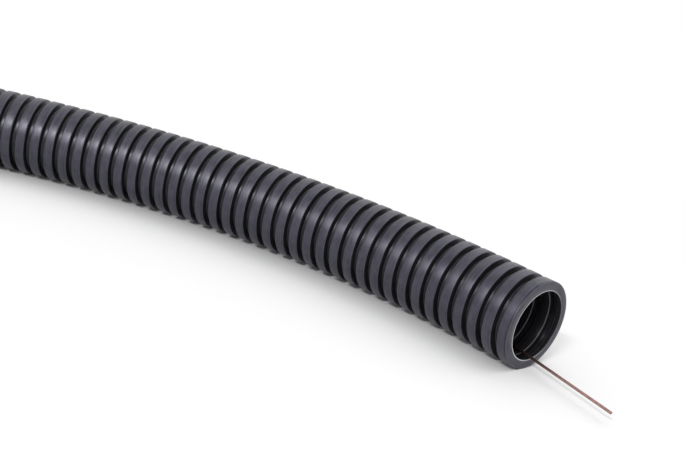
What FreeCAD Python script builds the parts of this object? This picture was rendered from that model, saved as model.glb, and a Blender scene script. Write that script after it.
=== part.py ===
"""One metre of 25 mm corrugated conduit with its draw wire, lying on a level floor.

Frame: millimetres, +Z up. The origin is the middle of the mouth, in the plane of its cut end. +X points straight out
of the mouth. The conduit runs back from there along -X, round a quarter circle towards -Y, and ends in a straight
tail whose cut end faces -Y. Its crests rest on the floor at Z = -OUTSIDE_DIAMETER / 2.
"""
import FreeCAD, Part
import math
import os

from FreeCAD import Vector

# The conduit's wall: a thin skin of even thickness, folded into flat-topped rings
OUTSIDE_DIAMETER = 25.0
FOLD_DEPTH = 2.1
WALL = 0.55
CREST_WIDTH = 3.0
ROOT_WIDTH = 2.0

# The mouth is sawn off a few degrees out of square through the front wall of the first crest, which stays as a
# solid rim all round. Its depth is measured on the axis, from the cut to the pocket behind it
RIM = 1.1
FIRST_CREST_END = 3.75
CUT_SLANT_DEGREES = 3.0

# The conduit's lay, counted in corrugations: 2 + 78 + 120 = 200 of them, 5 mm each, are 1000 mm
MOUTH_CORRUGATIONS = 2
BEND_CORRUGATIONS = 78
TAIL_CORRUGATIONS = 120
BEND_ANGLE = math.pi / 2

# The draw wire, which lies in the bore's bottom and runs out level over the mouth's lower edge
WIRE_DIAMETER = 0.8
WIRE_CLEARANCE = 0.15
WIRE_MOUTH_SIDEWAYS = 1.0
WIRE_REACH = 28.2
WIRE_TIP_SIDEWAYS = -5.2
WIRE_TIP_HEIGHT = 2.85
WIRE_KNEE_DEPTH = 6.0
WIRE_KNEE_SIDEWAYS = 1.9
WIRE_TAIL_REACH = 15.0
RUN_SHARE_FOR_ARC = 0.45

OUTSIDE_RADIUS = OUTSIDE_DIAMETER / 2
ROOT_RADIUS = OUTSIDE_RADIUS - FOLD_DEPTH
POCKET_RADIUS = OUTSIDE_RADIUS - WALL
BORE_RADIUS = ROOT_RADIUS - WALL
PITCH = CREST_WIDTH + ROOT_WIDTH
CORRUGATIONS = MOUTH_CORRUGATIONS + BEND_CORRUGATIONS + TAIL_CORRUGATIONS
LENGTH = CORRUGATIONS * PITCH
BEND_START = FIRST_CREST_END + (MOUTH_CORRUGATIONS - 1) * PITCH + ROOT_WIDTH / 2
BEND_END = BEND_START + BEND_CORRUGATIONS * PITCH
BEND_RADIUS = BEND_CORRUGATIONS * PITCH / BEND_ANGLE
BEND_CENTRE = Vector(-BEND_START, -BEND_RADIUS, 0)
UNCUT_REACH = OUTSIDE_DIAMETER
UP = Vector(0, 0, 1)
OUT_OF_MOUTH = Vector(1, 0, 0)


def lay(shape, distance):
    """Carries a shape made across the X axis at X = 0 to its distance from the mouth along the conduit's line."""
    into_bend = min(max(distance - BEND_START, 0), BEND_END - BEND_START)
    placed = shape.copy()
    placed.translate(OUT_OF_MOUTH * (into_bend - distance))
    placed.rotate(BEND_CENTRE, UP, math.degrees(into_bend / BEND_RADIUS))
    return placed


def circle(radius):
    return Part.Edge(Part.Circle(Vector(0, 0, 0), OUT_OF_MOUTH, radius))


def band(radius, start, end):
    """The skin of one radius between two distances from the mouth: a cylinder on a straight, a ring's part in a bend."""
    stops = [start] + [stop for stop in (BEND_START, BEND_END) if start < stop < end] + [end]
    faces = []
    for near, far in zip(stops, stops[1:]):
        if BEND_START <= near < BEND_END:
            turn = math.degrees((far - near) / BEND_RADIUS)
            face = circle(radius).revolve(Vector(0, -BEND_RADIUS, 0), UP, turn)
        else:
            face = circle(radius).extrude(OUT_OF_MOUTH * (near - far))
        faces.append(lay(face, near))
    return faces


def annulus(outer_radius, inner_radius, distance):
    """A flat ring across the conduit: the side of a fold, or a cut end."""
    hole = Part.Wire(circle(inner_radius))
    hole.reverse()
    return lay(Part.Face([Part.Wire(circle(outer_radius)), hole]), distance)


def skin(crest_radius, root_radius, first_start, inset):
    """One side of the folded wall, from in front of the mouth, where it is still uncut, to the tail's end.

    first_start is where its first crest begins, and inset how far the others' sides stand in from the outside's."""
    faces = []
    foot = -UNCUT_REACH
    for index in range(CORRUGATIONS):
        crest_end = FIRST_CREST_END + index * PITCH - inset
        crest_start = crest_end + 2 * inset - CREST_WIDTH if index else first_start
        if crest_start > foot:
            faces += band(root_radius, foot, crest_start)
            faces.append(annulus(crest_radius, root_radius, crest_start))
        faces += band(crest_radius, crest_start, crest_end)
        faces.append(annulus(crest_radius, root_radius, crest_end))
        foot = crest_end
    return faces + band(root_radius, foot, LENGTH)


def past_the_cut():
    """The block of space in front of the mouth's cut, a plane through the origin turned about the upright axis."""
    depth = 2 * UNCUT_REACH
    width = 2 * OUTSIDE_DIAMETER
    block = Part.makeBox(depth, width, width, Vector(0, -width / 2, -width / 2))
    block.rotate(Vector(0, 0, 0), UP, -CUT_SLANT_DEGREES)
    return block


def make_conduit():
    faces = skin(OUTSIDE_RADIUS, ROOT_RADIUS, -UNCUT_REACH, 0)
    faces += skin(POCKET_RADIUS, BORE_RADIUS, RIM, WALL)
    faces.append(annulus(OUTSIDE_RADIUS, BORE_RADIUS, -UNCUT_REACH))
    faces.append(annulus(ROOT_RADIUS, BORE_RADIUS, LENGTH))
    wall = Part.makeCompound(faces)
    wall.sewShape()
    solid = Part.Solid(wall.Shells[0])
    if solid.Volume < 0:
        solid.reverse()
    return solid.cut(past_the_cut()).Solids[0]


def rounded(points):
    """Edges of straight runs joined by tangent arcs, each as large as its two runs allow."""
    edges = []
    run_start = points[0]
    for before, corner, after in zip(points, points[1:], points[2:]):
        back = (before - corner).normalize()
        onwards = (after - corner).normalize()
        half_turn = (math.pi - back.getAngle(onwards)) / 2
        cut_back = RUN_SHARE_FOR_ARC * min((before - corner).Length, (after - corner).Length)
        radius = cut_back / math.tan(half_turn)
        inwards = (back + onwards).normalize()
        arc_start = corner + back * cut_back
        arc_middle = corner + inwards * (radius / math.cos(half_turn) - radius)
        arc_end = corner + onwards * cut_back
        edges += [Part.LineSegment(run_start, arc_start), Part.Arc(arc_start, arc_middle, arc_end)]
        run_start = arc_end
        print("draw wire: radius", round(radius, 1))
    return edges + [Part.LineSegment(run_start, points[-1])]


def make_draw_wire():
    """The wire from its tip in front of the mouth, through the bore, to its end beyond the tail."""
    lie = BORE_RADIUS - WIRE_DIAMETER / 2 - WIRE_CLEARANCE
    tip = Vector(WIRE_REACH, WIRE_TIP_SIDEWAYS, WIRE_DIAMETER / 2 + WIRE_TIP_HEIGHT - OUTSIDE_RADIUS)
    at_mouth = Vector(0, WIRE_MOUTH_SIDEWAYS, -math.sqrt(lie ** 2 - WIRE_MOUTH_SIDEWAYS ** 2))
    knee = Vector(-WIRE_KNEE_DEPTH, WIRE_KNEE_SIDEWAYS, -math.sqrt(lie ** 2 - WIRE_KNEE_SIDEWAYS ** 2))
    stations = (BEND_START, (BEND_START + BEND_END) / 2, BEND_END, LENGTH + WIRE_TAIL_REACH)
    bend_near, bend_middle, bend_far, tail_end = [
        lay(Part.Vertex(0, knee.y, knee.z), station).Point for station in stations]
    path = rounded([tip, at_mouth, knee, bend_near])
    path += [Part.Arc(bend_near, bend_middle, bend_far), Part.LineSegment(bend_far, tail_end)]
    route = Part.Wire([piece.toShape() for piece in path])
    section = Part.Wire(Part.Edge(Part.Circle(tip, at_mouth - tip, WIRE_DIAMETER / 2)))
    wire = route.makePipeShell([section], True, False)
    print("draw wire: length", round(route.Length, 2), "volume", round(wire.Volume, 2))
    print("draw wire: section by length", round(route.Length * math.pi * WIRE_DIAMETER ** 2 / 4, 2))
    return wire


def main():
    os.makedirs("parts", exist_ok=True)
    for name, shape in (("conduit", make_conduit()), ("draw_wire", make_draw_wire())):
        shape.exportStep("parts/" + name + ".step")
        print(name, "solids", len(shape.Solids), "valid", shape.isValid(), "volume", round(shape.Volume, 1))
        print(name, "box", shape.BoundBox)


main()
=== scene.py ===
# %% [markdown]
# A length of black corrugated conduit lies on a white floor in one wide bend. A thin copper-coloured wire
# comes out over the lower edge of its mouth. Real conduit is a thin plastic skin folded into flat-topped
# rings, and that fold is nearly all there is to see. So the lesson spends its effort on one profile, and lets
# operators repeat it, spin it into a tube and carry it round the bend.
#
# The first cell loads the measured model. It is in metres, its origin is the middle of the mouth, and all
# that follows is built in the same frame.

# %% Load the frame
import math

import bmesh
import bpy
from mathutils import Matrix, Vector


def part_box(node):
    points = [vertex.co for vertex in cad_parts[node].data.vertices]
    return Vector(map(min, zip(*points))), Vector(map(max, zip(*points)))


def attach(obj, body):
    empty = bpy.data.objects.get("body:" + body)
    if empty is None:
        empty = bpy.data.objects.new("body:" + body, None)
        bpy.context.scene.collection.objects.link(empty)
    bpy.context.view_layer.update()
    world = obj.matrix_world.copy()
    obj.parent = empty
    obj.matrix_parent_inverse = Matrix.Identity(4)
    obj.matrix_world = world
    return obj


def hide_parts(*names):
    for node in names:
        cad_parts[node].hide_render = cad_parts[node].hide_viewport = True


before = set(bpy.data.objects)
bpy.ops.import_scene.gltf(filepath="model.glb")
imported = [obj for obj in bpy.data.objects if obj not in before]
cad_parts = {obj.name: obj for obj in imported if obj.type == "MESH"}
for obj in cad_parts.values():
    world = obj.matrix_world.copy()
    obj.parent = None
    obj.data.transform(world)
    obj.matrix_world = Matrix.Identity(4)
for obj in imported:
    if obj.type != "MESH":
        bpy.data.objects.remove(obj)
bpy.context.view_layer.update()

MM = 0.001

# %% [markdown]
# The sizes below are the conduit's own. Its diameter is read from the measured model, whose height is that of
# a crest. Then come the sizes of one fold, those of the mouth, and those of the bend, which starts in the
# middle of the root behind the second crest.

# %% Sizes of the conduit
CONDUIT_LOW, CONDUIT_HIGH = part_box("conduit")
OUTSIDE_RADIUS = (CONDUIT_HIGH[2] - CONDUIT_LOW[2]) / 2
FOLD_DEPTH = 2.1 * MM
WALL = 0.55 * MM
CREST_WIDTH = 3.0 * MM
ROOT_WIDTH = 2.0 * MM
PITCH = CREST_WIDTH + ROOT_WIDTH
ROOT_RADIUS = OUTSIDE_RADIUS - FOLD_DEPTH
POCKET_RADIUS = OUTSIDE_RADIUS - WALL
BORE_RADIUS = ROOT_RADIUS - WALL
RIM = 1.1 * MM
FIRST_CREST_END = 3.75 * MM
CUT_SLANT = math.radians(3.0)

MOUTH_CORRUGATIONS, BEND_CORRUGATIONS, TAIL_CORRUGATIONS = 2, 78, 120
CORRUGATIONS = MOUTH_CORRUGATIONS + BEND_CORRUGATIONS + TAIL_CORRUGATIONS
LENGTH = CORRUGATIONS * PITCH
BEND_START = FIRST_CREST_END + (MOUTH_CORRUGATIONS - 1) * PITCH + ROOT_WIDTH / 2
BEND_LENGTH = BEND_CORRUGATIONS * PITCH
BEND_ANGLE = math.pi / 2
BEND_RADIUS = BEND_LENGTH / BEND_ANGLE
BEND_CENTRE = Vector((-BEND_START, -BEND_RADIUS, 0))
FLOOR = -OUTSIDE_RADIUS
print(CORRUGATIONS, "corrugations of", round(PITCH / MM, 2), "mm are", round(LENGTH, 3), "m")

# %% [markdown]
# The conduit is made straight and bent afterwards, so one function says where a straight station ends up.
# `into_bend` is how much of the bend lies between the mouth and that station. The piece slides back by what
# is left of its distance, and then turns about the centre of the bend.

# %% Where a station of the straight conduit lies
def into_bend(distance):
    return min(max(distance - BEND_START, 0), BEND_LENGTH)


def turn_at(distance):
    return Matrix.Rotation(into_bend(distance) / BEND_RADIUS, 3, "Z")


def on_line(distance, sideways=0.0, height=0.0):
    """The point at that distance from the mouth along the conduit's line."""
    straight = Vector((into_bend(distance) - distance, sideways, height))
    return BEND_CENTRE + turn_at(distance) @ (straight - BEND_CENTRE)


print("the tail ends at", [round(value, 4) for value in on_line(LENGTH)])

# %% [markdown]
# The camera comes before the looks, because every later choice is judged through it. It stands to the right
# in front of the mouth, a little above it, with a normal lens. It is rolled to the left, which is why the
# conduit seems to run downhill although it lies flat.
#
# A camera without a turn looks straight down, so it is raised by a right angle less its drop, turned to its
# heading, and rolled about its own line of sight.

# %% Camera
CAMERA_PLACE = Vector((110.54, -212.46, 85.47)) * MM
CAMERA_HEADING = math.radians(40.886)
CAMERA_DROP = math.radians(17.094)
CAMERA_ROLL = math.radians(13.207)
CAMERA_LENS = 50.0
SENSOR_WIDTH = 36.0
NEAREST_SEEN = 10 * MM

camera_data = bpy.data.cameras.new("camera")
camera_data.sensor_fit = "HORIZONTAL"
camera_data.sensor_width = SENSOR_WIDTH
camera_data.lens = CAMERA_LENS
camera_data.clip_start = NEAREST_SEEN
camera = bpy.data.objects.new("camera", camera_data)
bpy.context.scene.collection.objects.link(camera)
heading = Matrix.Rotation(CAMERA_HEADING, 4, "Z")
drop = Matrix.Rotation(math.pi / 2 - CAMERA_DROP, 4, "X")
roll = Matrix.Rotation(CAMERA_ROLL, 4, "Z")
camera.matrix_world = Matrix.Translation(CAMERA_PLACE) @ heading @ drop @ roll
bpy.context.scene.camera = camera
print("camera to mouth:", round(CAMERA_PLACE.length, 3), "m")

# %% [markdown]
# The wire is a draw wire: an electrician ties cables to it and pulls them through. It is springy steel with a
# copper skin, so it runs nearly straight, lies in the bottom of the bore and sticks out level over the rim.
# A mesh tube would need its own maths for every turn. A NURBS curve with a round bevel needs only the few
# points that the wire passes by, and stays smooth between them.
#
# In the bend the points stand a little outside the wire's own circle, because such a curve touches the middle
# of each run between two points and cuts inside the points themselves. The wire's radius is given to the
# points, and the bevel is 1, because a curve's bounding box reaches out by the points' radius, whatever the
# bevel is.

# %% Draw wire
WIRE_DIAMETER = 0.8 * MM
WIRE_TIP = Vector((28.2, -5.2, -9.25)) * MM
WIRE_AT_MOUTH = Vector((0, 1.0, -9.246)) * MM
WIRE_KNEE = Vector((-6.0, 1.9, -9.104)) * MM
WIRE_EDGE_SPACE = 6 * WIRE_DIAMETER
WIRE_TAIL_REACH = 15.0 * MM
WIRE_BEND_TURNS = 9


def wire_route():
    """The wire's control points from its tip to its far end."""
    outwards = (WIRE_TIP - WIRE_AT_MOUTH).normalized()
    points = [WIRE_TIP, WIRE_AT_MOUTH + outwards * WIRE_EDGE_SPACE, WIRE_AT_MOUTH, WIRE_KNEE]
    half_turn = BEND_ANGLE / WIRE_BEND_TURNS / 2
    radius = BEND_RADIUS + WIRE_KNEE.y
    outside = radius / math.cos(half_turn) - BEND_RADIUS
    step = BEND_LENGTH / WIRE_BEND_TURNS
    for turn in range(WIRE_BEND_TURNS):
        points.append(on_line(BEND_START + (turn + 0.5) * step, outside, WIRE_KNEE.z))
    bend_end = BEND_START + BEND_LENGTH
    points.append(on_line(bend_end + radius * math.tan(half_turn), WIRE_KNEE.y, WIRE_KNEE.z))
    points.append(on_line(LENGTH + WIRE_TAIL_REACH, WIRE_KNEE.y, WIRE_KNEE.z))
    return points


def make_wire(points):
    curve = bpy.data.curves.new("wire", "CURVE")
    curve.dimensions = "3D"
    curve.bevel_depth = 1.0
    curve.bevel_resolution = 4
    curve.use_fill_caps = True
    curve.resolution_u = 16
    spline = curve.splines.new("NURBS")
    spline.points.add(len(points) - 1)
    for spot, point in zip(spline.points, points):
        spot.co = (*point, 1)
        spot.radius = WIRE_DIAMETER / 2
    spline.order_u = 3
    spline.use_endpoint_u = True
    wire = bpy.data.objects.new("pull_wire", curve)
    bpy.context.scene.collection.objects.link(wire)
    return wire


wire = make_wire(wire_route())
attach(wire, "root")
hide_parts("draw_wire")
print("wire points:", len(wire.data.splines[0].points))

# %% [markdown]
# Now the fold. In section the wall is a square wave: root, flank, crest, flank. The mould leaves every corner
# a little round, and those roundings catch the light as thin bright lines. So the profile is drawn with sharp
# corners first, and a vertex bevel rounds them.

# %% The section of one fold
WELD = 0.001 * MM


def root_middle(index):
    """The distance from the mouth to the middle of the root behind that crest."""
    return FIRST_CREST_END + index * PITCH + ROOT_WIDTH / 2


def chain(bm, points):
    """Joins the points of a section in a row. Each is (distance from the mouth, radius)."""
    verts = [bm.verts.new((-distance, 0, radius)) for distance, radius in points]
    for near, far in zip(verts, verts[1:]):
        bm.edges.new((near, far))


def fold(bm, index, side):
    """The section of one fold. side is its (crest radius, root radius, inset of the crest's ends)."""
    crest_radius, root_radius, inset = side
    start = root_middle(index - 1) + ROOT_WIDTH / 2 + inset
    end = root_middle(index) - ROOT_WIDTH / 2 - inset
    chain(bm, [(root_middle(index - 1), root_radius), (start, root_radius), (start, crest_radius),
               (end, crest_radius), (end, root_radius), (root_middle(index), root_radius)])


def round_corners(bm, roundings):
    """Rounds the chain's corners. Each rounding is (radius at which they lie, size, segments)."""
    for corner_radius, size, segments in roundings:
        corners = [vert for vert in bm.verts
                   if len(vert.link_edges) == 2 and abs(vert.co.z - corner_radius) < WELD]
        bmesh.ops.bevel(bm, geom=corners, offset=size, offset_type="OFFSET", segments=segments, profile=0.5,
                        affect="VERTICES", material=-1, clamp_overlap=True)


print("the middle of the first root is", round(root_middle(0) / MM, 2), "mm from the mouth")

# %% [markdown]
# One fold runs from the middle of a root to the middle of the next one. It is duplicated along the axis, the
# copies are welded, and one spin turns the chain into a tube. An array and a screw modifier could do that
# too, but then no single ring could be slid afterwards, and no tube joined to the next.

# %% From one fold to a tube
def repeat_along(bm, copies):
    """Copies everything in the mesh along the conduit, one pitch at a time, and welds it."""
    first = bm.verts[:] + bm.edges[:]
    for index in range(1, copies):
        made = bmesh.ops.duplicate(bm, geom=first)["geom"]
        moved = [item for item in made if isinstance(item, bmesh.types.BMVert)]
        bmesh.ops.translate(bm, verts=moved, vec=(-index * PITCH, 0, 0))
    bmesh.ops.remove_doubles(bm, verts=bm.verts[:], dist=WELD)


def spin_round(bm, segments):
    """Spins the chain once round the conduit's axis."""
    bmesh.ops.spin(bm, geom=bm.verts[:] + bm.edges[:], cent=(0, 0, 0), axis=(1, 0, 0), dvec=(0, 0, 0),
                   angle=2 * math.pi, steps=segments, use_merge=True, use_duplicate=False)


def slide_ring(bm, distance, new_distance):
    """Moves the vertices at one distance from the mouth to another distance."""
    ring = [vert for vert in bm.verts if abs(vert.co.x + distance) < WELD]
    bmesh.ops.translate(bm, verts=ring, vec=(distance - new_distance, 0, 0))


def merge_into(target, source):
    """Moves a bmesh's geometry into another one."""
    scratch = bpy.data.meshes.new("scratch")
    source.to_mesh(scratch)
    source.free()
    target.from_mesh(scratch)
    bpy.data.meshes.remove(scratch)


print("folds to make:", CORRUGATIONS, "outside and as many inside")

# %% [markdown]
# The near part of the conduit is what the camera sees, so its rings get many segments and fully rounded
# folds. The far part gets fewer segments and plain chamfers, because no view comes near it, and a million
# triangles spent there would buy nothing. The inside is the same wall seen from the other side, set in by its
# thickness.
#
# The fold at the mouth differs, so it has a section of its own. Its front is left long, for the saw to cut
# off. The crest's front corner is round, and the slanted cut leaves a part of that rounding at the far side
# only, so the outside narrows in front of the origin.
#
# Each stretch ends in the middle of a root. Its last ring then slides a little, to leave room for the joint
# with the next stretch, or to meet the tail's end.

# %% Near and far tubes, outside and inside
CREST_ROUNDING = 0.25 * MM
FOOT_ROUNDING = 0.2 * MM
LAND_ROUNDING = 0.25 * MM
NEAR_CORRUGATIONS = 46
NEAR_INSIDE_CORRUGATIONS = 8
NEAR_SEGMENTS = 64
FAR_SEGMENTS = 24
UNCUT_REACH = 2.0 * MM
FRONT_FALL = 1.6 * MM
JOINT_GAP = 0.4 * MM
OUTSIDE = (OUTSIDE_RADIUS, ROOT_RADIUS, 0.0)
INSIDE = (POCKET_RADIUS, BORE_RADIUS, WALL)


def spun(bm, segments, last_ring, slid_to):
    """Spins a finished chain and slides its last ring."""
    spin_round(bm, segments)
    slide_ring(bm, last_ring, slid_to)
    return bm


def near_tube(front, count, side, roundings):
    """The stretch at the mouth: the front's section, then copies of one fold."""
    bm = bmesh.new()
    fold(bm, 1, side)
    round_corners(bm, roundings)
    repeat_along(bm, count - 1)
    mouth = bmesh.new()
    chain(mouth, front)
    round_corners(mouth, roundings)
    merge_into(bm, mouth)
    bmesh.ops.remove_doubles(bm, verts=bm.verts[:], dist=WELD)
    return spun(bm, NEAR_SEGMENTS, root_middle(count - 1), root_middle(count - 1) - JOINT_GAP)


def far_tube(first, side, roundings):
    """The stretch from that corrugation to the tail's end."""
    bm = bmesh.new()
    fold(bm, first, side)
    round_corners(bm, roundings)
    repeat_along(bm, CORRUGATIONS - first)
    return spun(bm, FAR_SEGMENTS, root_middle(CORRUGATIONS - 1), LENGTH)


outside_front = [(-UNCUT_REACH, OUTSIDE_RADIUS - FRONT_FALL), (0.0, OUTSIDE_RADIUS),
                 (FIRST_CREST_END, OUTSIDE_RADIUS), (FIRST_CREST_END, ROOT_RADIUS),
                 (root_middle(0), ROOT_RADIUS)]
pocket_end = FIRST_CREST_END - WALL
inside_front = [(-UNCUT_REACH, BORE_RADIUS), (RIM, BORE_RADIUS), (RIM, POCKET_RADIUS),
                (pocket_end, POCKET_RADIUS), (pocket_end, BORE_RADIUS), (root_middle(0), BORE_RADIUS)]
near_outside_corners = [(OUTSIDE_RADIUS, CREST_ROUNDING, 3), (ROOT_RADIUS, FOOT_ROUNDING, 2)]
near_inside_corners = [(BORE_RADIUS, LAND_ROUNDING, 2)]
far_outside_corners = [(OUTSIDE_RADIUS, CREST_ROUNDING, 1)]
conduit_bm = near_tube(outside_front, NEAR_CORRUGATIONS, OUTSIDE, near_outside_corners)
merge_into(conduit_bm, near_tube(inside_front, NEAR_INSIDE_CORRUGATIONS, INSIDE, near_inside_corners))
merge_into(conduit_bm, far_tube(NEAR_CORRUGATIONS, OUTSIDE, far_outside_corners))
merge_into(conduit_bm, far_tube(NEAR_INSIDE_CORRUGATIONS, INSIDE, []))
print("tubes:", len(conduit_bm.verts), "vertices,", len(conduit_bm.faces), "faces")

# %% [markdown]
# Four open tubes become one closed wall. Each near tube is bridged to its far one in the middle of a root,
# where the change of segments can't be seen. The tail is cut square, so one flat ring closes it.
#
# The bridge operator finds out which way round two loops run from the line between their middles. Two rings
# in one plane have the same middle, and it may join them crosswise. So the inner ring steps back before the
# bridge is made, and comes forward again after it.

# %% Join the tubes and close the tail
STEP_BACK = 0.3 * MM


def ring_at(bm, distance, radius):
    """The open edges that form one end ring of a tube."""
    middle = Vector((-distance, 0, 0))
    found = []
    for edge in bm.edges:
        if len(edge.link_faces) == 1:
            spots = [vert.co - middle for vert in edge.verts]
            if all(abs(spot.x) < WELD and abs(spot.length - radius) < WELD for spot in spots):
                found.append(edge)
    return found


def close_end(bm, outer_ring, inner_ring, outwards):
    """Makes the flat ring between two concentric rings of edges. outwards points off the end."""
    inner_verts = list({vert for edge in inner_ring for vert in edge.verts})
    bmesh.ops.translate(bm, verts=inner_verts, vec=outwards * -STEP_BACK)
    bmesh.ops.bridge_loops(bm, edges=outer_ring + inner_ring)
    bmesh.ops.translate(bm, verts=inner_verts, vec=outwards * STEP_BACK)


for count, radius in ((NEAR_CORRUGATIONS, ROOT_RADIUS), (NEAR_INSIDE_CORRUGATIONS, BORE_RADIUS)):
    meeting = root_middle(count - 1)
    near_ring = ring_at(conduit_bm, meeting - JOINT_GAP, radius)
    bmesh.ops.bridge_loops(conduit_bm, edges=near_ring + ring_at(conduit_bm, meeting, radius))
close_end(conduit_bm, ring_at(conduit_bm, LENGTH, ROOT_RADIUS), ring_at(conduit_bm, LENGTH, BORE_RADIUS),
          Vector((-1, 0, 0)))
print("still open, at the mouth:", sum(1 for edge in conduit_bm.edges if len(edge.link_faces) == 1), "edges")

# %% [markdown]
# The mouth was sawn through by hand, a few degrees out of square, so one slanted plane cuts both tubes there,
# and a bridge makes the flat rim that the saw left. Then the rim's edges are broken: the outer one is rubbed
# round, and the inner one keeps only the tiny bevel that shows as a bright line. The bevel operator trusts
# the normals to say which side of an edge is out, so they are made to agree first.

# %% Saw off the mouth
CUT_NORMAL = Vector((math.cos(CUT_SLANT), -math.sin(CUT_SLANT), 0))
RUBBED_EDGE = 0.3 * MM
SAWN_EDGE = 0.15 * MM
MOUTH_PART = PITCH

at_mouth = [vert for vert in conduit_bm.verts if vert.co.x > -MOUTH_PART]
faces = {face for vert in at_mouth for face in vert.link_faces}
edges = {edge for face in faces for edge in face.edges}
verts = {vert for edge in edges for vert in edge.verts}
bmesh.ops.bisect_plane(conduit_bm, geom=[*verts, *edges, *faces], plane_co=(0, 0, 0), plane_no=CUT_NORMAL,
                       clear_outer=True)
rims = [edge for edge in conduit_bm.edges if len(edge.link_faces) == 1]
inner_rim = [edge for edge in rims if edge.verts[0].co.yz.length < ROOT_RADIUS]
outer_rim = [edge for edge in rims if edge not in inner_rim]
close_end(conduit_bm, outer_rim, inner_rim, CUT_NORMAL)
bmesh.ops.recalc_face_normals(conduit_bm, faces=conduit_bm.faces[:])
for rim, size, steps in ((outer_rim, RUBBED_EDGE, 4), (inner_rim, SAWN_EDGE, 2)):
    bmesh.ops.bevel(conduit_bm, geom=rim, offset=size, offset_type="OFFSET", segments=steps, profile=0.5,
                    affect="EDGES", material=-1)
open_edges = sum(1 for edge in conduit_bm.edges if len(edge.link_faces) != 2)
print("wall:", len(conduit_bm.faces), "faces,", open_edges, "open edges, volume",
      round(conduit_bm.calc_volume() / MM ** 3), "mm3")

# %% [markdown]
# The wall is still straight. Scratches and mould marks run round a conduit's rings, so each vertex first
# remembers its straight place in an attribute, and the material will read that instead of the bent place.
# Then every vertex goes to its place beside the conduit's line, by the same function that placed the wire, so
# each ring slides and turns as a whole, like a bead on a string. A curve modifier could bend the mesh too,
# but its rings would lean where the curve's points are unevenly spaced.

# %% Remember the straight places and bend the wall
SHARP_ANGLE = math.radians(50)

straight_layer = conduit_bm.verts.layers.float_vector.new("straight")
for vert in conduit_bm.verts:
    vert[straight_layer] = vert.co
    vert.co = on_line(-vert.co.x, vert.co.y, vert.co.z)
print("the bent wall has", len(conduit_bm.verts), "vertices")

conduit_mesh = bpy.data.meshes.new("conduit_wall")
conduit_bm.to_mesh(conduit_mesh)
conduit_bm.free()
for polygon in conduit_mesh.polygons:
    polygon.use_smooth = True
conduit_mesh.set_sharp_from_angle(angle=SHARP_ANGLE)
conduit = bpy.data.objects.new("ribbed_conduit", conduit_mesh)
bpy.context.scene.collection.objects.link(conduit)
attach(conduit, "root")
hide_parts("conduit")
conduit_mesh.calc_loop_triangles()
print("conduit:", len(conduit_mesh.loop_triangles), "triangles")

# %% [markdown]
# A finish is a small tree of nodes. The helpers below each add one node, feed it, and return what comes out
# of it, so that the recipe of a surface can be read like a sum. What they are fed is either a number or
# another node's result. Colours are given as red, green, blue and alpha.

# %% Helpers for finishes
def new_material(name):
    material = bpy.data.materials.new(name)
    material.use_nodes = True
    tree = material.node_tree
    return material, tree, tree.nodes["Principled BSDF"]


def add(tree, kind, **settings):
    node = tree.nodes.new(kind)
    for setting, value in settings.items():
        setattr(node, setting, value)
    return node


def feed(tree, socket, value):
    """Links another node's result to a socket, or sets the socket's own value."""
    if isinstance(value, bpy.types.NodeSocket):
        tree.links.new(value, socket)
    else:
        socket.default_value = value


def calculate(tree, operation, first, second):
    node = add(tree, "ShaderNodeMath", operation=operation)
    for socket, value in zip(node.inputs, (first, second)):
        feed(tree, socket, value)
    return node.outputs["Value"]


def vector_node(tree, operation, first, second=None):
    """A node of vector maths, with its first two sockets fed."""
    node = add(tree, "ShaderNodeVectorMath", operation=operation)
    feed(tree, node.inputs[0], first)
    if second is not None:
        feed(tree, node.inputs[1], second)
    return node


def scaled(tree, vector, factor):
    """A colour times a number."""
    node = vector_node(tree, "SCALE", vector)
    feed(tree, node.inputs["Scale"], factor)
    return node.outputs["Vector"]


def mix(tree, factor, first, second, kind="RGBA"):
    """From the first to the second as the factor goes from 0 to 1. They are colours, or numbers for FLOAT."""
    node = add(tree, "ShaderNodeMix", data_type=kind)
    for name, value in (("Factor", factor), ("A", first), ("B", second)):
        feed(tree, node.inputs[name], value)
    return node.outputs["Result"]


def remap(tree, value, low, high, to_low, to_high):
    """Goes from to_low to to_high as the value goes from low to high, and stays there beyond them."""
    node = add(tree, "ShaderNodeMapRange")
    for name, number in (("From Min", low), ("From Max", high), ("To Min", to_low), ("To Max", to_high)):
        node.inputs[name].default_value = number
    tree.links.new(value, node.inputs["Value"])
    return node.outputs["Result"]


def between(tree, value, rise, fall):
    """1 between the rise and the fall, each given as its (start, end), and 0 outside them."""
    return calculate(tree, "MULTIPLY", remap(tree, value, *rise, 0, 1), remap(tree, value, *fall, 1, 0))


def noise(tree, vector, scale, detail):
    node = add(tree, "ShaderNodeTexNoise")
    node.inputs["Scale"].default_value = scale
    node.inputs["Detail"].default_value = detail
    tree.links.new(vector, node.inputs["Vector"])
    return node.outputs["Fac"]


print("finishes to make: the conduit's plastic, the wire's metal and the paper")

# %% [markdown]
# The plastic is a polymer coloured right through with carbon black. What separates one surface from another
# is wear and shine, and painted highlights. The crests are scuffed to a satin charcoal, and the roots between
# them stay unworn and dark. The corners of crests and lands are painted paler, as painted highlights where
# their roundings catch the light. The saw left a dull face and a pale, torn inner edge, which is painted
# brighter still as a highlight that fades towards one side, and a dull band just behind the cut shows as a
# dark line round the first crest.
#
# Image textures would need the wall unwrapped. The straight place of each point already says where it lies
# on the conduit, so every surface gets a mask from two measures of that place: the distance from the axis,
# and the distance from the cut. A mask goes up over one short ramp and down over another, in millimetres.

# %% Where each surface of the wall lies
# The painted highlight on the torn edge is brightest on one side and fades towards the other.
BRIGHT_EDGE_SIDE = -6 * MM
DIM_EDGE_SIDE = 8 * MM
DIM_EDGE_LEFT = 0.14


def from_bore(*heights):
    """The radii that lie so many millimetres outside the bore."""
    return [BORE_RADIUS + height * MM for height in heights]


def under_crest(*depths):
    """The radii that lie so many millimetres under the top of a crest."""
    return [OUTSIDE_RADIUS - depth * MM for depth in depths]


def behind_cut(*depths):
    """The places that lie so many millimetres behind the cut."""
    return [-depth * MM for depth in depths]


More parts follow.
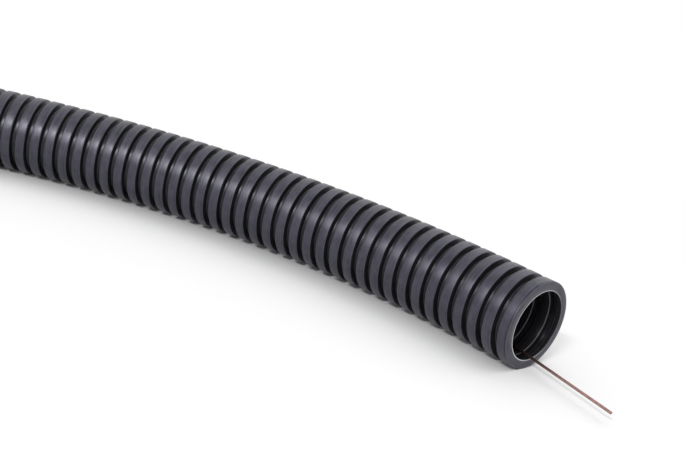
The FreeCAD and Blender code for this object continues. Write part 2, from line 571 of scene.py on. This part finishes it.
plastic, tree, shader = new_material("conduit_plastic")
straight = add(tree, "ShaderNodeAttribute", attribute_name="straight").outputs["Vector"]
straight_parts = add(tree, "ShaderNodeSeparateXYZ")
tree.links.new(straight, straight_parts.inputs["Vector"])
sideways = straight_parts.outputs["Y"]
off_axis = vector_node(tree, "MULTIPLY", straight, (0, 1, 1)).outputs["Vector"]
radius = vector_node(tree, "LENGTH", off_axis).outputs["Value"]
past_cut = vector_node(tree, "DOT_PRODUCT", straight, CUT_NORMAL).outputs["Value"]

crest = remap(tree, radius, *under_crest(0.5, 0.2), 0, 1)
# Painted highlight: a thin band just under the top of each crest, where the corner's rounding catches the
# light.
crest_corner_highlight = between(tree, radius, under_crest(0.22, 0.16), under_crest(0.08, 0.035))
# Painted highlight: a thin band just outside the bore, on the lands' rounded corners.
land_corner_highlight = between(tree, radius, from_bore(0, 0.02), from_bore(0.2, 0.25))
sawn_face = remap(tree, past_cut, *behind_cut(0.12, 0.02), 0, 1)
saw_band = between(tree, past_cut, behind_cut(0.75, 0.6), behind_cut(0.35, 0.25))
# The torn inner edge: a pale burr, painted brighter as a highlight that fades from one side to the other.
torn_and_highlit_ring = calculate(tree, "MULTIPLY", remap(tree, past_cut, *behind_cut(0.3, 0.2), 0, 1),
                 between(tree, radius, from_bore(0.02, 0.12), from_bore(0.25, 0.33)))
torn_edge_and_highlight = calculate(tree, "MULTIPLY", torn_and_highlit_ring,
                      remap(tree, sideways, BRIGHT_EDGE_SIDE, DIM_EDGE_SIDE, 1, DIM_EDGE_LEFT))
print("masks for the plastic:", len(tree.nodes), "nodes")

# %% [markdown]
# Two patterns make the wear. Fine scratches and mould marks run round the rings, so their noise is squeezed
# hard along the axis and barely round it. A cloudy mottle breaks them up. Both change how dark the plastic
# is. The painted highlights on the corners, the sawn face and the torn edge with its painted highlight are
# laid over that, one after the other.
#
# A noise seldom gives values near 0 or 1. So its middle part alone is stretched over the range that is
# wanted.

# %% The plastic's colour
CREST_COLOUR = (0.024, 0.0235, 0.037, 1)
ROOT_COLOUR = (0.016, 0.0162, 0.019, 1)
# Painted highlight on the lands' corners inside the bore.
LAND_CORNER_HIGHLIGHT_COLOUR = (0.1, 0.1, 0.105, 1)
# Painted highlight on the crests' corners.
CREST_CORNER_HIGHLIGHT_COLOUR = (0.07, 0.07, 0.085, 1)
SAWN_COLOUR = (0.036, 0.035, 0.048, 1)
# A pale burr with a painted highlight on it.
TORN_AND_HIGHLIGHT_COLOUR = (0.75, 0.75, 0.77, 1)
SCRATCH_SCALE = (4200, 90, 90)
SCRATCH_DETAIL = 3.0
MOTTLE_SCALE = 420
MOTTLE_DETAIL = 4.0
SCRATCH_WEAR = (0.8, 1.15)
MOTTLE_WEAR = (-0.1, 0.1)
NOISE_CORE = (0.35, 0.65)

round_ring = add(tree, "ShaderNodeMapping")
round_ring.inputs["Scale"].default_value = SCRATCH_SCALE
tree.links.new(straight, round_ring.inputs["Vector"])
scratches = noise(tree, round_ring.outputs["Vector"], 1.0, SCRATCH_DETAIL)
mottle = noise(tree, straight, MOTTLE_SCALE, MOTTLE_DETAIL)
wear = calculate(tree, "ADD", remap(tree, scratches, *NOISE_CORE, *SCRATCH_WEAR),
                 remap(tree, mottle, *NOISE_CORE, *MOTTLE_WEAR))
colour = scaled(tree, mix(tree, crest, ROOT_COLOUR, CREST_COLOUR), wear)
# The painted highlights on the corners and on the torn edge are laid over the worn colour, with the sawn
# face.
for mask, laid_over in ((land_corner_highlight, LAND_CORNER_HIGHLIGHT_COLOUR), (crest_corner_highlight, CREST_CORNER_HIGHLIGHT_COLOUR),
                        (sawn_face, SAWN_COLOUR), (torn_edge_and_highlight, TORN_AND_HIGHLIGHT_COLOUR)):
    colour = mix(tree, mask, colour, laid_over)
tree.links.new(colour, shader.inputs["Base Color"])
print("with the colour:", len(tree.nodes), "nodes")

# %% [markdown]
# A black plastic is seen mostly by its shine, so the shine carries as much of the wear as the colour does. It
# is faintly blue, stronger on the crests than in the roots, and weak in the band behind the cut. The
# scratches make a crest rougher here and there, and stand in it as a shallow relief with a fine grain. The
# smooth roots get no relief.

# %% The plastic's shine and relief
SHINE_TINT = (0.88, 0.87, 1.0, 1)
ROOT_SHINE, CREST_SHINE = 0.4, 0.68
SAW_BAND_LEFT = 0.35
ROOT_ROUGHNESS = 0.3
CREST_ROUGHNESS = (0.28, 0.40)
MOTTLE_ROUGHNESS = (-0.04, 0.04)
NOISE_SPREAD = (0.3, 0.7)
GRAIN_SCALE = 5000
GRAIN_DETAIL = 2.0
SCRATCH_SHARE, GRAIN_SHARE = 0.7, 0.3
RELIEF_HEIGHT = 0.05 * MM
RELIEF_STRENGTH = 0.8

shine = calculate(tree, "MULTIPLY", wear, remap(tree, crest, 0, 1, ROOT_SHINE, CREST_SHINE))
shine = calculate(tree, "MULTIPLY", shine, remap(tree, saw_band, 0, 1, 1, SAW_BAND_LEFT))
tree.links.new(shine, shader.inputs["Specular IOR Level"])
shader.inputs["Specular Tint"].default_value = SHINE_TINT
crest_roughness = calculate(tree, "ADD", remap(tree, scratches, *NOISE_SPREAD, *CREST_ROUGHNESS),
                            remap(tree, mottle, *NOISE_SPREAD, *MOTTLE_ROUGHNESS))
tree.links.new(mix(tree, crest, ROOT_ROUGHNESS, crest_roughness, "FLOAT"), shader.inputs["Roughness"])

grain = noise(tree, straight, GRAIN_SCALE, GRAIN_DETAIL)
height = calculate(tree, "ADD", calculate(tree, "MULTIPLY", scratches, SCRATCH_SHARE),
                   calculate(tree, "MULTIPLY", grain, GRAIN_SHARE))
relief = add(tree, "ShaderNodeBump")
relief.inputs["Distance"].default_value = RELIEF_HEIGHT
tree.links.new(calculate(tree, "MULTIPLY", crest, RELIEF_STRENGTH), relief.inputs["Strength"])
tree.links.new(height, relief.inputs["Height"])
tree.links.new(relief.outputs["Normal"], shader.inputs["Normal"])
conduit_mesh.materials.append(plastic)
print("with shine and relief:", len(tree.nodes), "nodes,", len(tree.links), "links")

# %% [markdown]
# The wire is steel drawn through a die and flashed with copper: a dull pinkish brown metal, mottled where
# the copper is thin. In the bore its colour is darkened as painted shade, which fades out over the first
# centimetre outside. The X axis points out of the mouth, so it says how far out a point is.

# %% Wire metal
COPPER_COLOUR = (0.38, 0.235, 0.21, 1)
THIN_COPPER_COLOUR = (0.27, 0.16, 0.145, 1)
METALLIC = 0.8
PATCH_SCALE = 900
PATCH_DETAIL = 4.0
WIRE_ROUGHNESS = (0.5, 0.34)
# Painted shade inside the bore: where it is full, where it is gone, and how much colour it leaves.
BORE_SHADE_FULL_TO = -3 * MM
BORE_SHADE_GONE_FROM = 12 * MM
BORE_SHADE_LEFT = 0.15

copper, tree, shader = new_material("wire_metal")
place = add(tree, "ShaderNodeTexCoord").outputs["Object"]
place_parts = add(tree, "ShaderNodeSeparateXYZ")
tree.links.new(place, place_parts.inputs["Vector"])
patches = noise(tree, place, PATCH_SCALE, PATCH_DETAIL)
patchy = mix(tree, remap(tree, patches, *NOISE_SPREAD, 0, 1), THIN_COPPER_COLOUR, COPPER_COLOUR)
# Painted shade: the wire's colour darkens in the bore and comes back over the first centimetre outside.
bore_shade_factor = remap(tree, place_parts.outputs["X"], BORE_SHADE_FULL_TO, BORE_SHADE_GONE_FROM, BORE_SHADE_LEFT, 1)
tree.links.new(scaled(tree, patchy, bore_shade_factor), shader.inputs["Base Color"])
tree.links.new(remap(tree, patches, *NOISE_SPREAD, *WIRE_ROUGHNESS), shader.inputs["Roughness"])
shader.inputs["Metallic"].default_value = METALLIC
wire.data.materials.append(copper)
print("wire metal:", len(tree.nodes), "nodes")

# %% [markdown]
# The photograph is a studio shot on white paper. A plane is enough for the floor, because the paper is flat
# wherever the object stands on it.
#
# A camera exposed for black plastic sees white paper as pure white. More light would bring that about too,
# but it would grey the plastic as well. So only what the camera sees of the paper is made brighter, straight
# or mirrored in something that shines, and the light that the paper throws back stays as it is. Far from the
# lamps it is made brighter still, so that it is white from every side.

# %% Paper floor
FLOOR_SIZE = 6.0
PAPER_COLOUR = (1.0, 1.0, 1.0, 1)
PAPER_SEEN = (1.09, 1.09, 1.09, 1)
PAPER_SEEN_FAR = (1.75, 1.75, 1.75, 1)
LAMPLIT_REACH = 0.3
UNLIT_REACH = 1.5


def seen_or_mirrored(tree):
    """1 where the camera sees a surface, straight or in something that shines or is clear."""
    path = add(tree, "ShaderNodeLightPath").outputs
    shiny = calculate(tree, "ADD", path["Is Glossy Ray"], path["Is Transmission Ray"])
    return calculate(tree, "MINIMUM", calculate(tree, "ADD", path["Is Camera Ray"], shiny), 1.0)


floor_bm = bmesh.new()
bmesh.ops.create_grid(floor_bm, x_segments=1, y_segments=1, size=FLOOR_SIZE / 2)
bmesh.ops.translate(floor_bm, verts=floor_bm.verts[:], vec=(0, 0, FLOOR))
floor_mesh = bpy.data.meshes.new("floor")
floor_bm.to_mesh(floor_mesh)
floor_bm.free()
floor = bpy.data.objects.new("floor", floor_mesh)
bpy.context.scene.collection.objects.link(floor)

paper, tree, shader = new_material("paper")
reach = vector_node(tree, "LENGTH", add(tree, "ShaderNodeTexCoord").outputs["Object"]).outputs["Value"]
seen = mix(tree, remap(tree, reach, LAMPLIT_REACH, UNLIT_REACH, 0, 1), PAPER_SEEN, PAPER_SEEN_FAR)
tree.links.new(mix(tree, seen_or_mirrored(tree), PAPER_COLOUR, seen), shader.inputs["Base Color"])
shader.inputs["Roughness"].default_value = 1.0
shader.inputs["Specular IOR Level"].default_value = 0.0
floor_mesh.materials.append(paper)
print("paper:", FLOOR_SIZE, "m wide, its top at", round(FLOOR / MM, 2), "mm")

# %% [markdown]
# The room is white all round, and lights the object evenly. It is seen as pure white too, in the same way as
# the paper.
#
# A small softbox hangs low beside the camera, and draws the thin shadow under the wire. A large one stands
# high behind the tube. The tube holds its light off the floor in front, which deepens the shadow near the
# contact, and the open floor gets it in full. A long strip light draws the streak that runs evenly along all
# crests. It lights only the shine, because as a full lamp it would wash the wire's shadow out.

# %% World and lamps
WORLD_STRENGTH = 0.6
WORLD_SEEN = 1.0
LAMP_DISTANCE = 1.8
LOW_SOFTBOX = (-74, 38, (0.4, 0.1), 9.0)
BACK_SOFTBOX = (88, 62, (2.2, 1.8), 9.0)
SHINE_STRIP = (-90, 32, (2.0, 0.65), 15.5)


def hang_lamp(name, lamp):
    """Hangs a rectangular lamp that looks at the mouth.

    lamp is its (heading and height in degrees, size in metres, power in watts)."""
    heading, height, size, power = lamp
    data = bpy.data.lights.new(name, "AREA")
    data.shape = "RECTANGLE"
    data.size, data.size_y = size
    data.energy = power
    hung = bpy.data.objects.new(name, data)
    across = Matrix.Rotation(math.radians(heading), 3, "Z")
    up = Matrix.Rotation(-math.radians(height), 3, "Y")
    hung.location = across @ up @ Vector((LAMP_DISTANCE, 0, 0))
    hung.rotation_euler = hung.location.to_track_quat("Z", "Y").to_euler()
    bpy.context.scene.collection.objects.link(hung)
    return hung


world = bpy.data.worlds.new("studio")
world.use_nodes = True
background = world.node_tree.nodes["Background"]
background.inputs["Color"].default_value = (1, 1, 1, 1)
strength = remap(world.node_tree, seen_or_mirrored(world.node_tree), 0, 1, WORLD_STRENGTH, WORLD_SEEN)
world.node_tree.links.new(strength, background.inputs["Strength"])
bpy.context.scene.world = world

hang_lamp("low_softbox", LOW_SOFTBOX)
hang_lamp("back_softbox", BACK_SOFTBOX)
hang_lamp("shine_strip", SHINE_STRIP).visible_diffuse = False
bpy.context.scene.view_settings.view_transform = "Standard"
print("lamps:", len(bpy.data.lights), "at", LAMP_DISTANCE, "m from the mouth")
